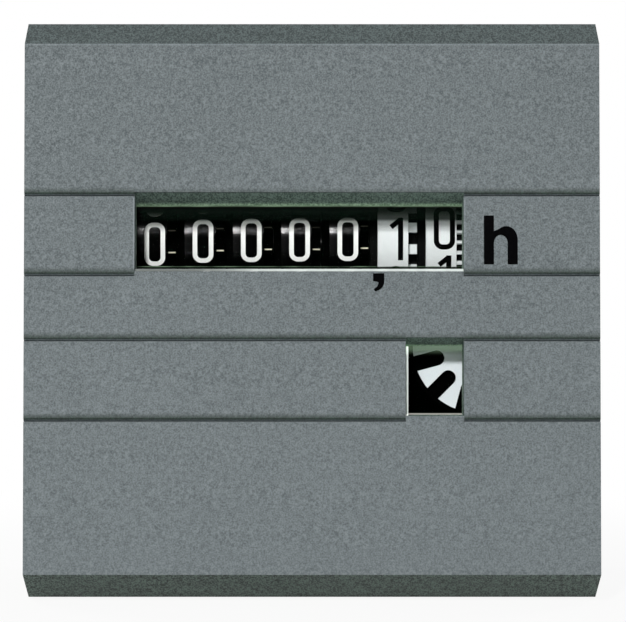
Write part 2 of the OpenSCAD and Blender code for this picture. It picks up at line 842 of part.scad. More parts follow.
// Carry pinion at the right of wheel i: eight teeth, of which four reach on to the next wheel
module carry_pinion(i) {
    bore = pinion_shaft_d / 2 + run_gap;
    foot_w = 0.6;
    tip_w = 0.3;
    x0 = wheel_x(i) + rim_w + side_gap;
    x1 = wheel_x(i + 1) - lobe_w - side_gap;
    x_mid = wheel_x(i) + rim_w + ring_w;
    color(natural) translate([0, carry_y, carry_z]) difference() {
        union() {
            slab_x(x0, x_mid) rotate(carry_angle)
                polygon(straight_gear(carry_teeth, carry_root_r, carry_tip_r, foot_w, tip_w));
            slab_x(x_mid - eps, x1) rotate(carry_angle)
                polygon(straight_gear(carry_teeth / 2, carry_root_r, carry_tip_r, foot_w, tip_w));
            rod_x(0, 0, carry_root_r * cos(180 / carry_teeth), x0, x1);
        }
        rod_x(0, 0, bore, x0 - 1, x1 + 1);
    }
}

module carry_pinion_ten_thousands() {
    carry_pinion(0);
}

module carry_pinion_thousands() {
    carry_pinion(1);
}

module carry_pinion_hundreds() {
    carry_pinion(2);
}

module carry_pinion_tens() {
    carry_pinion(3);
}

module carry_pinion_units() {
    carry_pinion(4);
}

module carry_pinion_tenths() {
    carry_pinion(5);
}

// Cross-section of the single-start worm: radius over one turn from the thread's flanks
worm_lead = PI * drive_m;
worm_sides = 24;
worm_steps = 18;
worm_half = worm_lead / 4 - drive_thin / 2;
function worm_r(s) = max(worm_pr - tooth_ded * drive_m,
    min(worm_pr + tooth_add * drive_m, worm_pr + (worm_half - abs(s)) / tan(20)));
function worm_section() = [for (k = [0:worm_sides - 1])
    let (share = k / worm_sides - (k > worm_sides / 2 ? 1 : 0))
    worm_r(share * worm_lead) * [cos(360 * k / worm_sides), sin(360 * k / worm_sides)]];

// The thread's groove stands under the middle of the drive gear
module worm_thread() {
    turns = worm_l / worm_lead;
    translate([worm_c[0], counter_y - worm_l / 2, worm_c[1]]) rotate([-90, 0, 0])
        rotate(90 - 180 * turns)
        linear_extrude(worm_l, twist = -360 * turns, slices = ceil(worm_steps * turns), $fn = worm_sides)
        polygon(worm_section());
}

module worm_arbor() {
    collar = 0.6;
    collar_y = tab_y + frame_t + side_gap;
    color(brass) union() {
        rod_y(worm_c, arbor_d / 2, star_y, plate_2 + plate_t - end_in);
        worm_thread();
        // collar that keeps the arbor behind its front bearing
        rod_y(worm_c, arbor_d / 2 + collar, collar_y, collar_y + collar);
    }
}

module arbor_gear() {
    color(brass) train_gear(worm_c, arbor_teeth, idler_angle,
        arbor_gear_y, arbor_gear_y + gear_t, arbor_d / 2 + fix_gap, 6);
}

module indicator_disc() {
    color(black) slab_y(disc_y, disc_y + disc_t) translate(worm_c) difference() {
        circle(disc_r);
        circle(arbor_d / 2 + fix_gap);
    }
}

// Star with straight slots that end round, so that its arms widen outwards
module indicator_star() {
    color(white) slab_y(star_y, star_y + star_t - fix_gap) translate(worm_c) difference() {
        circle(star_r);
        circle(arbor_d / 2 + fix_gap);
        for (i = [0:star_arms - 1]) rotate(360 * i / star_arms + 180 / star_arms) {
            translate([slot_r, 0]) circle(slot_w / 2);
            translate([slot_r, -slot_w / 2]) square([star_r, slot_w]);
        }
    }
}

module idler_arbor() {
    color(steel) rod_y(idler_c, fine_arbor_d / 2, arbor_front, plate_2 + plate_t - end_in);
}

module idler_pinion() {
    phase = idler_angle + 180 + 180 / idler_pinion_teeth;
    color(brass) train_gear(idler_c, idler_pinion_teeth, phase,
        arbor_gear_y - gear_air / 2, arbor_gear_y + gear_t + gear_air / 2, fine_arbor_d / 2 + fix_gap);
}

module idler_gear() {
    color(brass) train_gear(idler_c, idler_teeth, rotor_angle,
        idler_gear_y, idler_gear_y + gear_t, fine_arbor_d / 2 + fix_gap, 5);
}

magnet_air = 1;
magnet_y0 = stator_y + stator_t + magnet_air;
magnet_y1 = stator_back - stator_t - magnet_air;

module rotor_arbor() {
    color(steel) rod_y(rotor_c, fine_arbor_d / 2, arbor_front, stator_back + cap_t - end_in);
}

module rotor_pinion() {
    phase = rotor_angle + 180 + 180 / rotor_pinion_teeth;
    color(brass) train_gear(rotor_c, rotor_pinion_teeth, phase,
        idler_gear_y - gear_air / 2, idler_gear_y + gear_t + gear_air / 2, fine_arbor_d / 2 + fix_gap);
}

// Moulded hub with a web in the middle of the magnet
module rotor_hub() {
    inner = magnet_r - magnet_t - fix_gap;
    mid = (magnet_y0 + magnet_y1) / 2;
    color(natural) difference() {
        union() {
            rod_y(rotor_c, 2 * fine_arbor_d, magnet_y0 - magnet_air / 2, magnet_y1 + magnet_air / 2);
            rod_y(rotor_c, inner, mid - magnet_t / 2, mid + magnet_t / 2);
        }
        rod_y(rotor_c, fine_arbor_d / 2 + fix_gap, magnet_y0 - 1, magnet_y1 + 1);
    }
}

module rotor_magnet() {
    color([0.22, 0.21, 0.21]) difference() {
        rod_y(rotor_c, magnet_r, magnet_y0, magnet_y1);
        rod_y(rotor_c, magnet_r - magnet_t, magnet_y0 - 1, magnet_y1 + 1);
    }
}

// Front plate, with blind bearings for the idler and the rotor
module front_plate() {
    half = body_in - plate_air;
    bore = fine_arbor_d / 2 + run_gap;
    color([0.2, 0.2, 0.21]) difference() {
        slab_y(plate_1, plate_1 + plate_t) difference() {
            square(2 * half, center = true);
            translate(worm_c) circle(arbor_d / 2 + run_gap);
            for (sx = [-1, 1], sz = [-1, 1]) translate([sx, sz] * post_at) circle(screw_r + fix_gap);
            for (c = frame_screw_at) translate(c) circle(screw_r + fix_gap);
            for (c = pillar_at) translate(c) circle(pillar_d / 4 + fix_gap);
        }
        for (c = [idler_c, rotor_c]) rod_y(c, bore, plate_1 + bearing_skin, plate_1 + plate_t + eps);
    }
}

module rear_plate() {
    b = rear_plate_box;
    bore = fine_arbor_d / 2 + run_gap;
    color(sheet) slab_y(plate_2, plate_2 + plate_t) difference() {
        translate([b[0], b[2]]) square([b[1] - b[0], b[3] - b[2]]);
        translate(worm_c) circle(arbor_d / 2 + run_gap);
        translate(idler_c) circle(bore);
        translate(rotor_c) circle(bore);
        for (side = [-1, 1]) translate(rotor_c + [side * ear_at, 0]) circle(screw_r + fix_gap);
        for (c = pillar_at) translate(c) circle(pillar_d / 4 + fix_gap);
    }
}

// Pillars with a thin end riveted into each plate
module plate_pillars() {
    color(steel) for (c = pillar_at) {
        rod_y(c, pillar_d / 2, plate_1 + plate_t, plate_2);
        rod_y(c, pillar_d / 4, plate_1, plate_2 + plate_t);
    }
}

module plate_screws() {
    color(steel) {
        for (sx = [-1, 1], sz = [-1, 1]) screw_y([sx, sz] * post_at, plate_1, plate_t + screw_l - screw_r);
    }
}

module frame_screws() {
    color(steel) for (c = frame_screw_at) screw_y(c, plate_1 - frame_t, frame_t + plate_t - end_in);
}

// One half of the claw pole stator, from its flat end at y = 0 towards +Y
module stator_half(phase) {
    notch_w = block_w + 2 * coil_air;
    half = stator_l / 2;
    reach = stator_l - stator_t - magnet_air;
    difference() {
        union() {
            difference() {
                rod_y([0, 0], stator_r, 0, half - fix_gap);
                rod_y([0, 0], stator_r - stator_t, stator_t, half + 1);
            }
            for (i = [0:pole_count - 1]) rotate([0, phase + 360 * i / pole_count, 0])
                block([pole_r, 0, -pole_w / 2], [pole_r + pole_t, reach, pole_w / 2]);
        }
        rod_y([0, 0], pole_r, -eps, stator_l);
        // notch for the connection block of the coil
        block([-notch_w / 2, half - block_l / 2 - coil_air, stator_r - 2 * stator_t],
            [notch_w / 2, half + 1, stator_r + 1]);
    }
}

module stator_front() {
    color(zinc) translate([rotor_c[0], stator_y, rotor_c[1]]) {
        stator_half(0);
        slab_y(0, stator_t) for (side = [-1, 1]) difference() {
            union() {
                translate([side * ear_at, 0]) circle(ear_r);
                translate([side * (stator_r + ear_at - stator_t) / 2, 0])
                    square([ear_at - stator_r + stator_t, 2 * ear_r], center = true);
            }
            translate([side * ear_at, 0]) circle(screw_r + fix_gap);
            circle(stator_r - eps);
        }
    }
}

module stator_rear() {
    color(zinc) translate([rotor_c[0], stator_back, rotor_c[1]])
        mirror([0, 1, 0]) stator_half(180 / pole_count);
}

module coil_bobbin() {
    mid = stator_y + stator_l / 2;
    color([0.92, 0.9, 0.82]) translate([rotor_c[0], 0, rotor_c[1]]) difference() {
        union() {
            rod_y([0, 0], winding_in_r, bobbin_y, bobbin_y + bobbin_l);
            rod_y([0, 0], bobbin_out_r, bobbin_y, bobbin_y + flange_t);
            rod_y([0, 0], bobbin_out_r, bobbin_y + bobbin_l - flange_t, bobbin_y + bobbin_l);
            // connection block, on a neck from the core through the notch in the stator
            block([-block_w / 2, mid - block_l / 2, bobbin_out_r], [block_w / 2, mid + block_l / 2, block_top]);
            block([-block_neck / 2, mid - block_l / 2, bobbin_r],
                [block_neck / 2, mid + block_l / 2, bobbin_out_r + eps]);
        }
        rod_y([0, 0], bobbin_r, bobbin_y - 1, bobbin_y + bobbin_l + 1);
        for (x = [-pin_x, pin_x]) translate([x, mid, block_top - pin_l])
            cylinder(r = pin_r + fix_gap, h = pin_l + 1);
    }
}

module coil_winding() {
    mid = stator_y + stator_l / 2;
    y0 = bobbin_y + flange_t + fix_gap;
    y1 = bobbin_y + bobbin_l - flange_t - fix_gap;
    color([0.72, 0.38, 0.18]) translate([rotor_c[0], 0, rotor_c[1]]) difference() {
        rod_y([0, 0], winding_out_r, y0, y1);
        rod_y([0, 0], winding_in_r + fix_gap, y0 - 1, y1 + 1);
        block([-block_neck / 2 - fix_gap, mid - block_l / 2 - fix_gap, bobbin_r],
            [block_neck / 2 + fix_gap, mid + block_l / 2 + fix_gap, stator_r]);
    }
}

// Moulded cap in the back of the stator with the rear bearing of the rotor
module bearing_cap() {
    color(natural) translate([rotor_c[0], 0, rotor_c[1]]) difference() {
        union() {
            rod_y([0, 0], pole_r - 2 * fix_gap, stator_back - stator_t, stator_back + eps);
            rod_y([0, 0], pole_r + 2 * pole_t, stator_back, stator_back + cap_t);
        }
        rod_y([0, 0], fine_arbor_d / 2 + run_gap, stator_back - stator_t - 1, stator_back + cap_t + 1);
    }
}

module motor_screws() {
    color(steel) for (side = [-1, 1]) {
        translate([0, 2 * (stator_y + stator_t), 0]) mirror([0, 1, 0])
            screw_y(rotor_c + [side * ear_at, 0], stator_y + stator_t, stator_t + plate_t - end_in);
    }
}

// Blade terminal through the back wall, with a shoulder and a solder tail inside
shoulder = 0.8;
tail_l = 3.4;
tail_w = 3;
blade_cut = 1;
blade_hole_in = 3;
blade_hole_r = 0.85;
module blade(side) {
    color(tinned) translate([side * blade_x, 0, 0]) difference() {
        slab_z(blade_z - blade_t / 2, blade_z + blade_t / 2) polygon([
            [-tail_w / 2, body_in_back - tail_l], [tail_w / 2, body_in_back - tail_l],
            [tail_w / 2, body_in_back - shoulder], [blade_w / 2 + shoulder, body_in_back - shoulder],
            [blade_w / 2 + shoulder, body_in_back], [blade_w / 2, body_in_back],
            [blade_w / 2, body_back + blade_l - blade_cut], [blade_w / 2 - blade_cut, body_back + blade_l],
            [blade_cut - blade_w / 2, body_back + blade_l], [-blade_w / 2, body_back + blade_l - blade_cut],
            [-blade_w / 2, body_in_back], [-blade_w / 2 - shoulder, body_in_back],
            [-blade_w / 2 - shoulder, body_in_back - shoulder], [-tail_w / 2, body_in_back - shoulder]
        ]);
        translate([0, body_back + blade_l - blade_hole_in, blade_z - blade_t])
            cylinder(r = blade_hole_r, h = 2 * blade_t);
    }
}

// Outline in X and Y, thick from z0 to z1
module slab_z(z0, z1) {
    translate([0, 0, z0]) linear_extrude(z1 - z0) children();
}

module terminal_left() {
    blade(-1);
}

module terminal_right() {
    blade(1);
}

// Pins in the connection block of the coil
module coil_pins() {
    mid = stator_y + stator_l / 2;
    color(tinned) for (x = [-pin_x, pin_x]) {
        translate([rotor_c[0] + x, mid, rotor_c[1] + block_top - pin_l]) cylinder(r = pin_r, h = 2 * pin_l);
    }
}

// Insulated lead through the given points, a little thicker at its bends
bend_swell = 0.12;
module lead(points) {
    color([0.75, 0.2, 0.16]) for (i = [0:len(points) - 2]) {
        way = points[i + 1] - points[i];
        far = norm(way);
        translate(points[i]) rotate([0, acos(way[2] / far), atan2(way[1], way[0])])
            cylinder(d = lead_d, h = far);
        if (i > 0) translate(points[i]) sphere(d = lead_d + bend_swell);
    }
}

// From a coil pin up and across to the tail of a blade
module coil_lead(side) {
    pin = [rotor_c[0] + side * pin_x, stator_y + stator_l / 2, rotor_c[1] + block_top + pin_l + fix_gap];
    tail = [side * blade_x, body_in_back - tail_l + 1, blade_z - blade_t / 2 - fix_gap];
    rise = (tail[2] - pin[2]) / 3;
    lead([pin, pin + [0, 0, rise], tail - [0, 0, rise], tail]);
}

module lead_left() {
    coil_lead(-1);
}

module lead_right() {
    coil_lead(1);
}

front_bezel();
counter_lens();
indicator_lens();
rear_housing();
mounting_frame();
counter_frame();
counter_shaft();
pinion_shaft();
shaft_clips();
wheel_ten_thousands();
wheel_thousands();
wheel_hundreds();
wheel_tens();
wheel_units();
wheel_tenths();
wheel_hundredths();
carry_pinion_ten_thousands();
carry_pinion_thousands();
carry_pinion_hundreds();
carry_pinion_tens();
carry_pinion_units();
carry_pinion_tenths();
worm_arbor();
arbor_gear();
indicator_disc();
indicator_star();
idler_arbor();
idler_pinion();
idler_gear();
rotor_arbor();
rotor_pinion();
rotor_hub();
rotor_magnet();
front_plate();
rear_plate();
plate_pillars();
plate_screws();
frame_screws();
stator_front();
stator_rear();
coil_bobbin();
coil_winding();
bearing_cap();
motor_screws();
terminal_left();
terminal_right();
coil_pins();
lead_left();
lead_right();
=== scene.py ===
# %% [markdown]
# # Dressing a panel hour meter
# The solids of the meter come from its CAD model and stay as they are.
# This lesson gives them finishes, prints the digits, the comma and the unit letter,
# and sets up a studio and a camera.
# Blender works in metres here. Where millimetres read better, a size is written in them and times MM.

# %% Load the fixed frame
import math
import bmesh
import bpy
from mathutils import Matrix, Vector


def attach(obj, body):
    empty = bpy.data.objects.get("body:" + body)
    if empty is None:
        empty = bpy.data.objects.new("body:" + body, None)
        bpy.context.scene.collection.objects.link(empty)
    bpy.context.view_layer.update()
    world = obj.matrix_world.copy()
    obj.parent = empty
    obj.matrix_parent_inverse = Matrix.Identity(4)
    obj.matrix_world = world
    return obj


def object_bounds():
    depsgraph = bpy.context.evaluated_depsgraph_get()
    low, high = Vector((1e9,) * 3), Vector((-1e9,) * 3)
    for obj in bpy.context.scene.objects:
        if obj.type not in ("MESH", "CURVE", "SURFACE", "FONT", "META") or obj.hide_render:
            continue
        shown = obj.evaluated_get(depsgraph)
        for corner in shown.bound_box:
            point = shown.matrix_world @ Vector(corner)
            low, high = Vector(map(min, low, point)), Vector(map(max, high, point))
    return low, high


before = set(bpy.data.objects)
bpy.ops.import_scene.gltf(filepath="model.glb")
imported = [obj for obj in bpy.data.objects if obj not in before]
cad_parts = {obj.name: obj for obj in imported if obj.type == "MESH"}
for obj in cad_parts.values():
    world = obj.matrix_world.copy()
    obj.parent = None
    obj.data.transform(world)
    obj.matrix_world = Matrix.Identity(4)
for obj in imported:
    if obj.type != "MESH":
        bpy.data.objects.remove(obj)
cad_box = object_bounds()
MM = 0.001
scene = bpy.context.scene
scene.view_settings.view_transform = "Standard"
print("solids", len(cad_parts), "box", [[round(v, 4) for v in corner] for corner in cad_box])

# %% [markdown]
# ## Node maths that reads like arithmetic
# A finish is mostly sums: a bit of noise here, a mask there. Wiring Math nodes by hand hides that,
# so a small class wraps a socket and lets Python's own operators add the nodes.
# Every other node, in a material, in the world or in a geometry tree, comes from one method
# that makes it, sets it up and links it.

# %% Sockets that can be added and multiplied
class Value:
    def __init__(self, tree, socket):
        self.tree = tree
        self.socket = socket

    def __add__(self, other):
        return self.tree.math("ADD", self, other)

    def __radd__(self, other):
        return self.tree.math("ADD", other, self)

    def __sub__(self, other):
        return self.tree.math("SUBTRACT", self, other)

    def __rsub__(self, other):
        return self.tree.math("SUBTRACT", other, self)

    def __mul__(self, other):
        return self.tree.math("MULTIPLY", self, other)

    def __rmul__(self, other):
        return self.tree.math("MULTIPLY", other, self)

    def power(self, other):
        return self.tree.math("POWER", self, other)

    def larger(self, other):
        return self.tree.math("MAXIMUM", self, other)

    def wave(self, period):
        return self.tree.math("PINGPONG", self, period / 2)

    def above(self, edge, soft):
        return self.tree.node("ShaderNodeMapRange", {"clamp": True, "interpolation_type": "SMOOTHSTEP"},
                              {"Value": self, "From Min": edge - soft, "From Max": edge + soft})


# %% One way to make a node in any tree
class Tree:
    def __init__(self, inside):
        self.inside = inside

    def node(self, kind, settings, inputs, output=0):
        made = self.inside.nodes.new(kind)
        for key, value in settings.items():
            setattr(made, key, value)
        for key, value in inputs.items():
            self.put(made.inputs[key], value)
        return Value(self, made.outputs[output]) if len(made.outputs) else None

    def put(self, socket, value):
        if isinstance(value, Value):
            self.inside.links.new(value.socket, socket)
        else:
            socket.default_value = value

    def math(self, operation, a, b):
        return self.node("ShaderNodeMath", {"operation": operation}, {0: a, 1: b})


# %% A finish is a material with a few helpers
class Finish(Tree):
    def __init__(self, name):
        self.material = bpy.data.materials.new(name)
        self.material.use_nodes = True
        super().__init__(self.material.node_tree)
        self.shader = self.inside.nodes["Principled BSDF"]
        self.place = self.node("ShaderNodeTexCoord", {}, {}, "Object")

    def noise(self, per_mm, detail=2.0, rough=0.5, stretch=(1.0, 1.0, 1.0)):
        place = self.node("ShaderNodeMapping", {}, {"Vector": self.place, "Scale": stretch})
        return self.node("ShaderNodeTexNoise", {}, {"Vector": place, "Scale": per_mm / MM,
                                                    "Detail": detail, "Roughness": rough}, "Fac")

    def mix(self, share, dark, light):
        return self.node("ShaderNodeMix", {"data_type": "RGBA"}, {0: share, 6: dark, 7: light}, 2)

    def axis(self, name):
        return self.node("ShaderNodeSeparateXYZ", {}, {0: self.place}, name)

    def axis_mm(self, name):
        return self.axis(name) * (1 / MM)

    def bump(self, height, depth_mm, strength=1.0):
        return self.node("ShaderNodeBump", {}, {"Height": height, "Distance": depth_mm * MM,
                                                "Strength": strength})

    def set(self, **inputs):
        names = {"color": "Base Color", "rough": "Roughness", "metal": "Metallic", "normal": "Normal",
                 "alpha": "Alpha", "coat": "Coat Weight", "coat_rough": "Coat Roughness", "ior": "IOR",
                 "spec": "Specular IOR Level", "glow": "Emission Color", "glow_power": "Emission Strength"}
        for key, value in inputs.items():
            self.put(self.shader.inputs[names[key]], value)
        return self.material


def srgb(r, g, b):
    line = [c / 255 for c in (r, g, b)]
    return tuple(c / 12.92 if c < 0.04045 else ((c + 0.055) / 1.055) ** 2.4 for c in line) + (1.0,)


# %% [markdown]
# ## The grey front
# The front is a moulded grey plastic with a fine spark-eroded grain, which breaks up every highlight.
# Fine noise as bump and as a little colour change gives that grain at any size.
# The bevels, the brow over each window and the rolled lines carry painted shade: greener greys than the face,
# darker on the bevels and the rolled lines, lighter on the brow, and the brow's lip carries a painted
# highlight.
# Each of these zones is a mask, worked out from where a point lies on the front, with its own two greys.
# Painted highlights make the upper edge of the face and the sides of the counter window a little lighter, and
# painted light lifts the recessed surfaces beside the windows.

# %% Places on the front, in millimetres
# depth and height of the ends of the leaning face
FACE_TOP, FACE_FOOT = (-4.0, 22.3), (-5.8, -21.93)
FACE_LEAN = (FACE_TOP[0] - FACE_FOOT[0]) / (FACE_TOP[1] - FACE_FOOT[1])
# sides of the counter window, how much further right the run window starts, heights and width of the painted
# edge highlight
WINDOW_X, RUN_SHIFT, STRIP_Z, EDGE_HIGHLIGHT_W = (-14.8, 12.66), 22.6, (3.4, 9.4), 0.12
# height of each rolled line, and the share of its shade that goes on over a window
ROLL_EDGES = ((9.54, 0.6), (2.88, 0.0), (-2.54, 0.6), (-9.24, 0.0))
# over a rolled line: where the shade starts, where it is half gone, and how deep it reaches
SHADE_FROM, SHADE_HALF, SHADE_DEEP = 0.16, 0.5, 0.6
# how far behind the face the brow starts and ends, and the depth of its lip, which carries a painted
# highlight
BROW_FROM, BROW_TO, LIP_Y = 0.12, 4.0, -2.1
print("the face leans", round(math.degrees(math.atan(FACE_LEAN)), 2), "degrees")

# %% Grained grey plastic
FINE_GRAIN, COARSE_GRAIN = 7.5, 2.6
EVEN, STEEP = (1.0, 1.0, 1.0), (1.0, 0.25, 1.0)
# the face's own two greys, then painted shade for the bevels, the brow and the rolled lines, and a painted
# highlight for the lip
GREYS = {
    "face": (srgb(118, 126, 129), srgb(67, 74, 76)),
    "top": (srgb(87, 98, 98), srgb(46, 54, 54)),
    "foot": (srgb(108, 125, 117), srgb(24, 34, 29)),
    "brow": (srgb(127, 147, 138), srgb(68, 84, 77)),
    "lip_highlight": (srgb(206, 236, 204), srgb(130, 160, 132)),
    "painted_roll_shade": (srgb(46, 60, 53), srgb(22, 32, 27)),
}


def sparks(f, stretch):
    fine = f.noise(FINE_GRAIN, 1.0, 0.6, stretch)
    coarse = f.noise(COARSE_GRAIN, 2.0, 0.5, stretch)
    return 0.65 * fine.above(0.5, 0.25) + 0.35 * coarse.above(0.5, 0.3)


def roll_shade(z, beside):
    shade = 0.0
    for edge, inside in ROLL_EDGES:
        up = z - edge
        line = (1 - up.above(SHADE_HALF, 0.35)) * up.above(SHADE_FROM, 0.06)
        shade = shade + line * (inside + (1 - inside) * beside)
    return shade


# painted highlights along the sides of the counter window and the upper edge of the face
def painted_edge_highlights(x, z):
    left = x.above(WINDOW_X[0] - EDGE_HIGHLIGHT_W, 0.03) - x.above(WINDOW_X[0], 0.03)
    right = x.above(WINDOW_X[1], 0.03) - x.above(WINDOW_X[1] + EDGE_HIGHLIGHT_W, 0.03)
    sides = (left + 0.6 * right) * (z.above(STRIP_Z[0], 0.1) - z.above(STRIP_Z[1], 0.1))
    return sides + 0.5 * (z.above(FACE_TOP[1] - 0.14, 0.03) - z.above(FACE_TOP[1] - 0.02, 0.03))


def grey_grain():
    f = Finish("grey_grain")
    grain = sparks(f, EVEN)
    cloud = f.noise(0.09, 2.0)
    x, y, z = f.axis_mm("X"), f.axis_mm("Y"), f.axis_mm("Z")
    behind = y - FACE_TOP[0] + (FACE_TOP[1] - z) * FACE_LEAN
    top, foot = z.above(FACE_TOP[1], 0.05), (-1.0 * z).above(-FACE_FOOT[1], 0.05)
    front = 1 - top - foot
    lower = 1 - z.above(0.0, 0.5)
    beside = 1 - (x - RUN_SHIFT * lower).above(WINDOW_X[0], 0.02) + x.above(WINDOW_X[1], 0.02)
    brow = (behind.above(BROW_FROM, 0.1) - behind.above(BROW_TO, 0.2)) * (1 - beside) * front
    # painted highlight on the brow's lip
    lip_highlight = brow * y.above(LIP_Y, 0.35)
    # painted shade over each rolled line, where the roll turns away from the light
    painted_roll_shade = roll_shade(z, beside) * (1 - behind.above(SHADE_DEEP, 0.05))
    # painted light on the recessed surfaces beside the windows, plus the painted edge highlights
    painted_light = 0.3 * behind.above(0.16, 0.06) * beside * front + 0.6 * painted_edge_highlights(x, z)
    plain = 0.8 * grain + 0.12 * cloud + 0.1
    color = f.mix(plain + 0.0045 * z - painted_light, *GREYS["face"])
    steep = 1.8 * sparks(f, STEEP) - 0.39
    # lay the painted shades and the painted lip highlight over the face grey
    for zone, greys in ((painted_roll_shade, "painted_roll_shade"), (top, "top"), (foot, "foot"), (brow, "brow"), (lip_highlight, "lip_highlight")):
        color = f.mix(zone, color, f.mix(steep, *GREYS[greys]))
    return f.set(color=color, rough=0.55 + 0.2 * grain, spec=0.21, normal=f.bump(grain, 0.012, 0.6))


# %% [markdown]
# ## Clear windows
# The lenses are clear plates behind the openings, each with one thin wall that reaches forward.
# Real refraction would bend light twice and leave the counter in the dark, so a plate is mostly
# see-through by alpha, and a faint smear keeps it from looking like bare air.
# Under the head of the counter window the plate carries a painted shade, where the brow keeps the light off.
# Its forward wall is painted pale, and its edges carry a painted glow, which stands in for light caught in
# the plate.

# %% Clear plastic
# heights in millimetres: head of the counter window, start of its shade, top of its sill
COUNTER_HEAD, COUNTER_SHADE, SILL_TOP = 8.85, 7.62, 3.47
# a dark gap over the sill, then a thin line of painted glow
GAP_H, LINE_H = 0.2, 0.07
RUN_HEAD, RUN_SILL, EDGE_H = -2.97, -8.78, 0.1
# where the white wheels start, and how far in front of the panel the walls start
WHITE_FROM, WALL_OUT = 5.55, 1.75


def clear_lens():
    f = Finish("clear_lens")
    smear = f.noise(0.35, 3.0)
    patch = f.noise(0.45, 2.0).above(0.5, 0.25)
    x, z = f.axis_mm("X"), f.axis_mm("Z")
    lower = 1 - z.above(0.0, 0.5)
    wall = (-1.0 * f.axis_mm("Y")).above(WALL_OUT, 0.03)
    # painted glow along the counter's head, over the run window's head and along its sill
    head = 0.45 * z.above(COUNTER_HEAD - EDGE_H, 0.03) * (0.3 + 0.7 * patch)
    run_head_glow = 0.45 * z.above(RUN_HEAD - 0.55, 0.35) * lower
    sill = 1 - z.above(RUN_SILL + EDGE_H, 0.03)
    edge = head + run_head_glow + sill
    gap_top = z.above(SILL_TOP + GAP_H, 0.02)
    line = (gap_top - z.above(SILL_TOP + GAP_H + LINE_H, 0.02)) * patch * 0.6
    dark = z.above(SILL_TOP, 0.02) - gap_top
    # painted shade on the plate under the counter's head, lighter over the white wheels
    over_white = x.above(WHITE_FROM, 0.1)
    under_head = z.above(COUNTER_HEAD - 0.65, 0.35)
    shade = 0.5 * z.above(COUNTER_SHADE, 0.16) + (0.42 - 0.22 * over_white) * under_head
    # the forward wall is painted pale, which stands in for the light it catches, paler towards the right
    pale = wall * (0.3 + 0.7 * x.above(-6.0, 4.0))
    color = f.mix(pale, srgb(3, 11, 6), srgb(232, 240, 236))
    glow_color = f.mix(sill, srgb(176, 212, 174), srgb(206, 200, 196))
    glow = f.mix(edge + line, srgb(0, 0, 0), glow_color)
    clouded = 0.02 + 0.03 * smear + shade + 0.7 * wall + 0.6 * edge + line + 0.85 * dark
    return f.set(color=color, alpha=clouded, glow=glow, glow_power=0.8, rough=0.05 + 0.05 * smear,
                 ior=1.49, spec=0.03)


# %% [markdown]
# ## Plastics of the counter and the body
# Wheels are satin mouldings. The black ones are polished at the left of the rim, where they catch a lamp,
# and the crests of their carry teeth carry painted highlights, pale dashes. The gaps of the white ones are
# painted dark as shade.
# The masks come from the distance to the wheels' axis and the turn about it, read from Object coordinates.

# %% Satin plastics
AXIS_Y, AXIS_Z, WHEEL_R = 6.8 * MM, 6.0 * MM, 6.7 * MM
# in millimetres: left end of the first wheel, distance of the wheels, width of a rim, radius of the polish
WHEEL_X, WHEEL_PITCH, RIM_W, POLISH_R = -14.91, 4.1, 2.59, 6.6
# radii of the tooth crests with the painted highlight and of the gaps painted dark as shade, and how much
# higher the drive gear's gaps lie
CREST_R, GAP_R, DRIVE_RISE = (5.9, 6.2), 5.6, 0.68
# in degrees: one digit, and the turn of a crest with the painted highlight, which differs a little between
# the wheels
DIGIT_STEP, GLINT_AT = 36, 10.2


def black_satin(name, rough):
    f = Finish(name)
    wear = f.noise(1.2, 3.0)
    fine = f.noise(9.0, 2.0)
    color = f.mix(wear, srgb(9, 9, 10), srgb(20, 20, 21))
    return f.set(color=color, rough=rough + 0.14 * wear, normal=f.bump(fine, 0.006, 0.5))


def from_axis(f):
    y = f.axis("Y") - AXIS_Y
    z = f.axis("Z") - AXIS_Z
    return y, z, (y * y + z * z).power(0.5) * (1 / MM)


def black_wheel():
    f = Finish("wheel_black")
    wear = f.noise(1.2, 3.0)
    y, z, radius = from_axis(f)
    turn = f.math("ARCTAN2", z, y) * (180 / math.pi)
    x = f.axis_mm("X") - WHEEL_X
    ahead = 1.6 * x.above(WHEEL_PITCH, 0.1) + x.above(2 * WHEEL_PITCH, 0.1) + x.above(4 * WHEEL_PITCH, 0.1)
    tooth_turn = turn + 360 - GLINT_AT + ahead
    crest = 1 - tooth_turn.wave(DIGIT_STEP).above(0.5, 0.25)
    crest = crest + 0.1 * (1 - (tooth_turn + DIGIT_STEP / 2).wave(DIGIT_STEP).above(0.5, 0.25))
    across = f.math("MODULO", x + WHEEL_PITCH, WHEEL_PITCH)
    tooth = radius.above(CREST_R[0], 0.02) * (1 - radius.above(CREST_R[1], 0.05))
    # painted highlights: pale dashes on the crests of the carry teeth
    crest_glint = crest * tooth * (across.above(RIM_W + 0.06, 0.03) - across.above(RIM_W + 0.7, 0.03))
    color = f.mix(crest_glint * (0.5 + wear), srgb(2, 2, 2), srgb(236, 232, 208))
    polish = radius.above(POLISH_R, 0.05) * (0.015 + 0.15 * (1 - across.above(0.6, 0.5)))
    return f.set(color=color, rough=0.4 + 0.1 * wear, spec=0.0, coat=polish, coat_rough=0.12)


def white_wheel():
    f = Finish("white_wheel")
    dust = f.noise(1.6, 3.0)
    radius = from_axis(f)[2]
    drive = f.axis_mm("X").above(WHEEL_X + 6 * WHEEL_PITCH + RIM_W, 0.02)
    # painted shade: the gaps between the ring's teeth are painted near-black
    gap_shade = 1 - (radius - DRIVE_RISE * drive).above(GAP_R, 0.1)
    paint = f.mix(dust, srgb(235, 240, 240), srgb(222, 227, 227))
    color = f.mix(gap_shade, paint, srgb(10, 11, 11))
    return f.set(color=color, rough=0.42 + 0.16 * dust + 0.4 * gap_shade, spec=0.05,
                 normal=f.bump(dust, 0.004, 0.4))


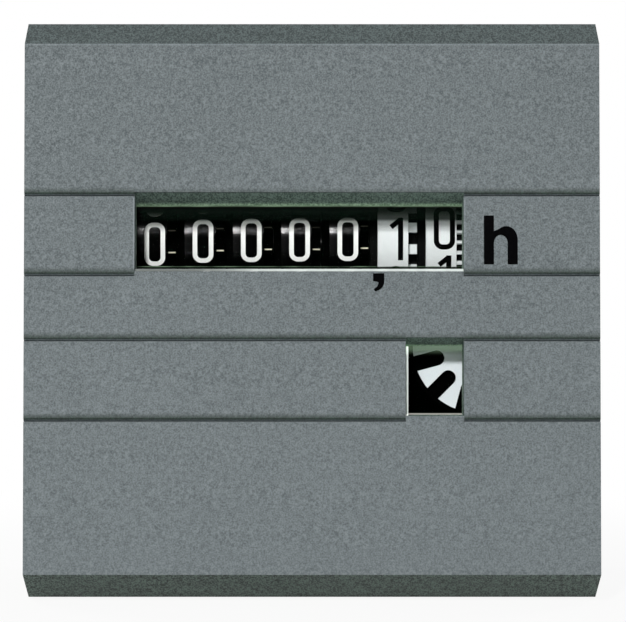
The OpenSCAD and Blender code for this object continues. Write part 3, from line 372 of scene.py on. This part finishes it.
def moulded(name, light, dark, rough, spec=0.5):
    f = Finish(name)
    cloud = f.noise(0.15, 3.0)
    fine = f.noise(7.0, 2.0)
    color = f.mix(0.6 * cloud + 0.4 * fine, light, dark)
    return f.set(color=color, rough=rough + 0.15 * cloud, spec=spec, normal=f.bump(fine, 0.01, 0.5))


# %% [markdown]
# ## Metals and windings
# Sheet, turned parts and blades are bare metals. What tells them apart is the way they were worked:
# rolled sheet has long faint lines, turned brass has rings, and wound wire shows its turns.
# Stretched noise gives the lines, and a wave along the coil's axis gives the turns.

# %% Worked metals
def metal(name, light, dark, rough, stretch):
    f = Finish(name)
    streak = f.noise(3.0, 2.0, 0.5, stretch)
    stain = f.noise(0.3, 3.0)
    color = f.mix(0.5 * streak + 0.5 * stain, light, dark)
    return f.set(color=color, metal=1.0, rough=rough + 0.18 * streak, normal=f.bump(streak, 0.004, 0.5))


def wound_wire():
    f = Finish("wound_wire")
    turns = f.node("ShaderNodeTexWave", {"bands_direction": "Y"}, {"Vector": f.place, "Scale": 1.6 / MM,
                                                                   "Distortion": 0.6, "Detail": 1.0}, "Fac")
    color = f.mix(turns, srgb(92, 44, 22), srgb(186, 106, 62))
    return f.set(color=color, metal=0.6, rough=0.3 + 0.2 * turns, normal=f.bump(turns, 0.06))


# %% Printing inks
def ink(name, light, dark):
    f = Finish(name)
    speck = f.noise(4.0, 3.0)
    return f.set(color=f.mix(speck, light, dark), rough=0.5 + 0.2 * speck, spec=0.0)


# %% [markdown]
# ## Giving each solid its finish
# A CAD solid keeps its mesh. Only its material slots change, so one table from finish to solids is enough.

# %% Assign the finishes
finishes = {
    "grey": grey_grain(),
    "clear": clear_lens(),
    "wheel_black": black_wheel(),
    "deep_black": moulded("deep_black", srgb(1, 1, 1), srgb(3, 3, 3), 0.6, 0.0),
    "frame_black": black_satin("frame_black", 0.48),
    "wheel_white": white_wheel(),
    "star_white": moulded("star_white", srgb(226, 233, 236), srgb(211, 218, 222), 0.45, 0.2),
    "body_light": moulded("body_light", srgb(222, 223, 219), srgb(206, 207, 202), 0.5),
    "natural": moulded("natural", srgb(230, 220, 192), srgb(206, 194, 160), 0.45),
    "magnet": moulded("magnet", srgb(64, 62, 62), srgb(40, 39, 39), 0.6),
    "sleeve": moulded("sleeve", srgb(186, 48, 38), srgb(150, 34, 28), 0.4),
    "sheet": metal("sheet", srgb(206, 208, 210), srgb(172, 175, 178), 0.28, (0.05, 1.0, 1.0)),
    "turned_steel": metal("turned_steel", srgb(214, 214, 216), srgb(180, 180, 184), 0.22, (1.0, 0.2, 1.0)),
    "turned_brass": metal("turned_brass", srgb(222, 186, 108), srgb(176, 138, 70), 0.24, (0.3, 1.0, 0.3)),
    "tinned": metal("tinned", srgb(216, 210, 196), srgb(184, 178, 162), 0.3, (1.0, 0.06, 1.0)),
    "wire": wound_wire(),
}
WHEELS = ["ten_thousands", "thousands", "hundreds", "tens", "units", "tenths", "hundredths"]
wears = {
    "grey": ["front_bezel"],
    "clear": ["counter_lens", "indicator_lens"],
    "wheel_black": ["wheel_" + w for w in WHEELS[:5]],
    "deep_black": ["indicator_disc", "front_plate"],
    "frame_black": ["mounting_frame"],
    "wheel_white": ["wheel_" + w for w in WHEELS[5:]],
    "star_white": ["indicator_star"],
    "body_light": ["rear_housing"],
    "natural": ["carry_pinion_" + w for w in WHEELS[:6]] + ["rotor_hub", "coil_bobbin", "bearing_cap"],
    "magnet": ["rotor_magnet"],
    "sleeve": ["lead_left", "lead_right"],
    "sheet": ["counter_frame", "shaft_clips", "rear_plate", "stator_front", "stator_rear"],
    "turned_steel": ["counter_shaft", "pinion_shaft", "idler_arbor", "rotor_arbor", "plate_pillars",
                     "plate_screws", "frame_screws", "motor_screws"],
    "turned_brass": ["worm_arbor", "arbor_gear", "idler_pinion", "idler_gear", "rotor_pinion"],
    "tinned": ["terminal_left", "terminal_right", "coil_pins"],
    "wire": ["coil_winding"],
}
for finish, nodes in wears.items():
    for name in nodes:
        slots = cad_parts[name].data.materials
        slots.clear()
        slots.append(finishes[finish])
print("dressed", sum(len(nodes) for nodes in wears.values()), "solids in", len(wears), "finishes")

# %% [markdown]
# ## Soft edges on the mouldings
# No moulded edge is sharp: each has a small round that draws a thin bright line.
# The solids arrive as loose triangles, so Weld joins them first and Bevel then rounds the edges.
# The width stays far under the sizes of the solids, so nothing grows.

# %% Round the visible edges
def soften(name, width_mm):
    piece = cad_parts[name]
    weld = piece.modifiers.new("join", "WELD")
    weld.merge_threshold = 0.0005 * MM
    edge = piece.modifiers.new("edge", "BEVEL")
    edge.width = width_mm * MM
    edge.segments = 2
    edge.limit_method = "ANGLE"
    edge.angle_limit = math.radians(40)
    edge.use_clamp_overlap = True
    smooth = piece.modifiers.new("flat", "WEIGHTED_NORMAL")
    smooth.keep_sharp = True


for name, width in (("front_bezel", 0.08), ("mounting_frame", 0.12), ("rear_housing", 0.1)):
    soften(name, width)
print("softened the bezel, the frame and the body")

# %% [markdown]
# ## Digits drawn as pen strokes
# The digits are narrow with round corners, like drawn with one broad pen.
# A font would bring its own shapes, so each digit is a list of centre lines here,
# and a ribbon of constant width follows them. Arcs give the round corners.

# %% Centre lines of the ten digits
# half width and half height of a digit between its centre lines, in millimetres
W, H = 0.685, 1.66


def arc(cx, cy, rx, ry, start, end, steps=8):
    turn = [math.radians(start + (end - start) * k / steps) for k in range(steps + 1)]
    return [(cx + rx * math.cos(a), cy + ry * math.sin(a)) for a in turn]


def round_loop(w, h, r):
    loop = arc(w - r, h - r, r, r, 0, 90) + arc(r - w, h - r, r, r, 90, 180)
    loop += arc(r - w, r - h, r, r, 180, 270) + arc(w - r, r - h, r, r, 270, 360)
    return loop + loop[:1]


six = arc(0, H - W, W, W, 25, 180) + arc(0, W - H, W, W, 180, 360) + arc(0, -0.3, W, W, 0, 180)
STROKES = [
    [round_loop(W, H, 0.55)],
    [[(-0.44, H - 0.66), (0.36, H)], [(0.38, H + 0.17), (0.38, -H - 0.17)]],
    [arc(0, H - W, W, W, 175, -25, 12) + [(-W, -H), (W + 0.1, -H)]],
    [arc(0, H - 0.78, W, 0.78, 160, -90, 12), arc(0, 0.84 - H, W, 0.84, 90, -160, 12)],
    [[(0.3, -H - 0.2), (0.3, H), (-W, -0.55), (W + 0.1, -0.55)]],
    [[(W, H), (0.1 - W, H), (-W, 0.2)] + arc(0, 0.95 - H, W, 0.95, 125, -155, 14)],
    [six],
    [[(-W, H), (W, H), (-0.2, -H - 0.2)]],
    [round_loop(0.62, 0.78, 0.5), round_loop(W, 0.84, 0.6)],
    [[(-x, -y) for x, y in six]],
]
STROKES[8] = [[(x, y + H - 0.78) for x, y in STROKES[8][0]], [(x, y + 0.84 - H) for x, y in STROKES[8][1]]]
print("digits", len(STROKES), "strokes", sum(len(s) for s in STROKES))


# %% A ribbon along a centre line
def finer(line, step=0.2):
    out = [line[0]]
    for a, b in zip(line, line[1:]):
        far = math.dist(a, b)
        if far < 1e-6:
            continue
        count = max(1, math.ceil(far / step))
        way = (b[0] - a[0], b[1] - a[1])
        out += [(a[0] + way[0] * k / count, a[1] + way[1] * k / count) for k in range(1, count + 1)]
    return out


def ribbon(line, width):
    line = finer(line)
    closed = math.dist(line[0], line[-1]) < 1e-6
    left, right = [], []
    last = len(line) - 1
    for i, (x, y) in enumerate(line):
        before = line[i - 1] if i else (line[-2] if closed else line[0])
        after = line[i + 1] if i < last else (line[1] if closed else line[-1])
        d1, d2 = Vector((x - before[0], y - before[1])), Vector((after[0] - x, after[1] - y))
        d1 = d1.normalized() if d1.length else d2.normalized()
        d2 = d2.normalized() if d2.length else d1
        way = (d1 + d2).normalized()
        reach = width / 2 / max(0.5, way.dot(d1))
        left.append((x - way.y * reach, y + way.x * reach))
        right.append((x + way.y * reach, y - way.x * reach))
    return left, right


# %% [markdown]
# ## Ten digits round each wheel
# Every wheel carries the same ten prints, one every 36 degrees, so this is work for Geometry Nodes:
# ten points, each with the digit of its own number, turned about the wheel's axis.
# The ribbons are bent to the rim first, because a flat digit would sink into the drum.

# %% Bend a digit onto the rim
# how far a print stands in front of what carries it, in millimetres
SKIN = 0.012


def digit_mesh(name, number, pen):
    mesh = bpy.data.meshes.new(name)
    shape = bmesh.new()
    for line in STROKES[number]:
        left, right = ribbon(line, pen)
        rows = []
        for side in (right, left):
            rows.append([])
            for x, y in side:
                turn = y / (WHEEL_R / MM)
                r = WHEEL_R / MM + SKIN
                place = (x * MM, -r * math.cos(turn) * MM, r * math.sin(turn) * MM)
                rows[-1].append(shape.verts.new(place))
        for i in range(len(rows[0]) - 1):
            shape.faces.new((rows[0][i], rows[0][i + 1], rows[1][i + 1], rows[1][i]))
    shape.to_mesh(mesh)
    shape.free()
    return mesh


def digit_shelf(name, pen):
    made = bpy.data.collections.new(name)
    for number in range(10):
        label = "%s_%d" % (name, number)
        made.objects.link(bpy.data.objects.new(label, digit_mesh(label, number, pen)))
    return made


white_digits = digit_shelf("white_digit", 0.39)
black_digits = digit_shelf("black_digit", 0.44)


# %% The node tree that sets a ring of digits
def digit_ring_tree():
    ring = Tree(bpy.data.node_groups.new("digit_ring", "GeometryNodeTree"))
    sockets = ring.inside.interface
    for label, kind in (("Digits", "Collection"), ("Centre", "Vector"), ("Step", "Float"), ("Shown", "Float"),
                        ("Ink", "Material")):
        sockets.new_socket(label, in_out="INPUT", socket_type="NodeSocket" + kind)
    sockets.new_socket("Geometry", in_out="OUTPUT", socket_type="NodeSocketGeometry")

    def given(label):
        return ring.node("NodeGroupInput", {}, {}, label)

    digits = ring.node("GeometryNodeCollectionInfo", {}, {"Collection": given("Digits"),
                                                          "Separate Children": True})
    points = ring.node("GeometryNodePoints", {}, {"Count": 10, "Position": given("Centre")})
    number = ring.node("GeometryNodeInputIndex", {}, {})
    turn = ring.node("ShaderNodeCombineXYZ", {}, {"X": number * given("Step") + given("Shown")})
    placed = ring.node("GeometryNodeInstanceOnPoints", {}, {"Points": points, "Instance": digits,
                                                            "Pick Instance": True, "Instance Index": number,
                                                            "Rotation": turn})
    solid = ring.node("GeometryNodeRealizeInstances", {}, {"Geometry": placed})
    inked = ring.node("GeometryNodeSetMaterial", {}, {"Geometry": solid, "Material": given("Ink")})
    ring.node("NodeGroupOutput", {}, {"Geometry": inked})
    return ring.inside


ring_tree = digit_ring_tree()
print("ring tree nodes", len(ring_tree.nodes))

# %% Print the seven wheels
# middle of a digit from the left end of its wheel, in millimetres
DIGIT_AT = 1.555
# digit that shows on each wheel, and how far the wheel has turned past it, in degrees
SHOWN = [0, 0, 0, 0, 0, 1, 0]
RIM_TURN = [-3.3, -1.0, -0.4, 0.0, 0.4, 0.7, 9.0]
white_ink = ink("white_ink", srgb(252, 253, 251), srgb(243, 245, 241))
black_ink = ink("black_ink", srgb(4, 4, 5), srgb(10, 10, 11))


def print_wheel(i):
    base = bpy.data.objects.new("making", bpy.data.meshes.new("making"))
    scene.collection.objects.link(base)
    ring = base.modifiers.new("ring", "NODES")
    ring.node_group = ring_tree
    values = {
        "Digits": white_digits if i < 5 else black_digits,
        "Centre": ((WHEEL_X + WHEEL_PITCH * i + DIGIT_AT) * MM, AXIS_Y, AXIS_Z),
        "Step": math.radians(DIGIT_STEP),
        "Shown": -math.radians(DIGIT_STEP * SHOWN[i] + RIM_TURN[i]),
        "Ink": white_ink if i < 5 else black_ink,
    }
    for socket in ring_tree.interface.items_tree:
        if socket.in_out == "INPUT":
            ring[socket.identifier] = values[socket.name]
    made = bpy.data.meshes.new_from_object(base.evaluated_get(bpy.context.evaluated_depsgraph_get()))
    bpy.data.objects.remove(base)
    piece = bpy.data.objects.new("digits_" + WHEELS[i], made)
    scene.collection.objects.link(piece)
    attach(piece, WHEELS[i])
    return len(made.polygons)


print("printed faces per wheel", [print_wheel(i) for i in range(7)])

# %% [markdown]
# ## The comma and the unit letter
# Both are printed flat on the leaning face, one under the counter window and one to its right.
# They are outlines, filled as one face each and laid a hair in front of the plastic.

# %% Outlines on the face
def face_y(z):
    return FACE_TOP[0] - (FACE_TOP[1] - z) * FACE_LEAN


def print_on_face(name, outlines):
    mesh = bpy.data.meshes.new(name)
    shape = bmesh.new()
    for outline in outlines:
        corners = [shape.verts.new((x * MM, (face_y(z) - SKIN) * MM, z * MM)) for x, z in outline]
        face = shape.faces.new(corners)
        face.normal_update()
        if face.normal.y > 0:
            face.normal_flip()
    bmesh.ops.triangulate(shape, faces=shape.faces[:])
    shape.to_mesh(mesh)
    shape.free()
    mesh.materials.append(black_ink)
    piece = bpy.data.objects.new(name, mesh)
    scene.collection.objects.link(piece)
    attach(piece, "meter")
    print(name, len(mesh.polygons), "faces")


LETTER_X, LETTER_Z, STEM = 14.32, 3.9, 0.84
letter = [(0, -0.06), (0, 4.02), (STEM, 4.02), (STEM, 2.72)]
letter += arc(1.86, 2.02, 0.96, 1.12, 128, 0, 10)
letter += [(2.82, -0.06), (2.82 - STEM, -0.06)]
letter += arc(1.41, 1.72, 0.57, 0.68, 0, 180, 10)
letter += [(STEM, -0.06)]
print_on_face("unit_letter", [[(x + LETTER_X, z + LETTER_Z) for x, z in letter]])
comma = [(5.08, 3.1), (6.02, 3.1), (6.02, 2.42)] + arc(5.2, 2.42, 0.82, 0.82, -10, -88, 6)
comma += [(5.14, 1.78)] + arc(5.12, 2.4, 0.42, 0.55, -70, -5, 5) + [(5.08, 2.46)]
print_on_face("decimal_comma", [comma])

# %% [markdown]
# ## Camera, floor and light
# The photograph looks straight at the front from about a quarter of a metre with a long lens.
# One small lamp, up and to the left, lights the front and shades the heads of both windows.
# A second one shows in reflections alone, so that it draws the gleam on the rims and lights nothing else.
# Two broad lamps behind keep the body readable from the back.
# The camera sees the surroundings and the pale floor as white, and the floor keeps a faint shadow.

# %% Camera
EYE = 0.253
camera = bpy.data.cameras.new("camera")
camera.lens = 171.4
camera.sensor_width = 36
camera.shift_x = 0.0016
camera.shift_y = -0.0008
eye = bpy.data.objects.new("camera", camera)
eye.location = (0, -EYE, 0)
eye.rotation_euler = (math.pi / 2, 0, 0)
scene.collection.objects.link(eye)
scene.camera = eye


# %% Lamps
def lamp(name, place, target, size, power, height=None, shine_only=False):
    light = bpy.data.lights.new(name, "AREA")
    light.shape = "RECTANGLE" if height else "DISK"
    light.size = size
    light.size_y = height or size
    light.energy = power
    piece = bpy.data.objects.new(name, light)
    piece.location = place
    piece.visible_diffuse = not shine_only
    piece.rotation_euler = (Vector(target) - Vector(place)).to_track_quat("-Z", "Y").to_euler()
    scene.collection.objects.link(piece)


FRONT, BODY = (0, 0, 0), (0, 0.02, 0)
lamp("key", (-0.1, -0.53, 0.263), FRONT, 0.05, 3.65)
lamp("sheen", (-0.012, -0.578, 0.165), FRONT, 0.055, 2.2, 0.09, shine_only=True)
for side, x in (("left", -0.45), ("right", 0.45)):
    lamp("back_" + side, (x, 0.5, 0.35), BODY, 0.3, 1.8)


# %% Pale floor
def in_sight(tree):
    kinds = ("Camera", "Glossy", "Transmission")
    rays = [tree.node("ShaderNodeLightPath", {}, {}, "Is %s Ray" % kind) for kind in kinds]
    return rays[0].larger(rays[1]).larger(rays[2])


FLOOR_HALF, FLOOR_DROP = 3, 0.0002
# share of white that the camera sees near the part, and the distance from which it is all white
NEAR_WHITE, ALL_WHITE = 0.92, 0.09
floor_mesh = bpy.data.meshes.new("floor")
low = cad_box[0][2] - FLOOR_DROP
corners = [(x * FLOOR_HALF, y * FLOOR_HALF, low) for x, y in ((-1, -1), (1, -1), (1, 1), (-1, 1))]
floor_mesh.from_pydata(corners, [], [(0, 1, 2, 3)])
floor = bpy.data.objects.new("floor", floor_mesh)
scene.collection.objects.link(floor)
paper = Finish("pale_floor")
floor_mesh.materials.append(paper.set(color=(0.62, 0.64, 0.62, 1), rough=0.8))
glow = paper.node("ShaderNodeEmission", {}, {"Color": (1, 1, 1, 1), "Strength": 1.0})
x, y = paper.axis("X"), paper.axis("Y")
far = (x * x + y * y).power(0.5).above(ALL_WHITE, 0.06)
white = (NEAR_WHITE + (1 - NEAR_WHITE) * far) * in_sight(paper)
both = paper.node("ShaderNodeMixShader", {}, {0: white, 1: Value(paper, paper.shader.outputs[0]), 2: glow})
paper.put(paper.inside.nodes["Material Output"].inputs["Surface"], both)
print("floor at", round(low, 4))

# %% White surroundings
world = bpy.data.worlds.new("studio")
scene.world = world
world.use_nodes = True
sky = Tree(world.node_tree)
back = sky.inside.nodes["Background"]
sky.put(back.inputs["Color"], (1, 1, 1, 1))
DIM = 0.05
sky.put(back.inputs["Strength"], DIM + (1 - DIM) * in_sight(sky))
print("camera at", [round(v, 3) for v in eye.location])
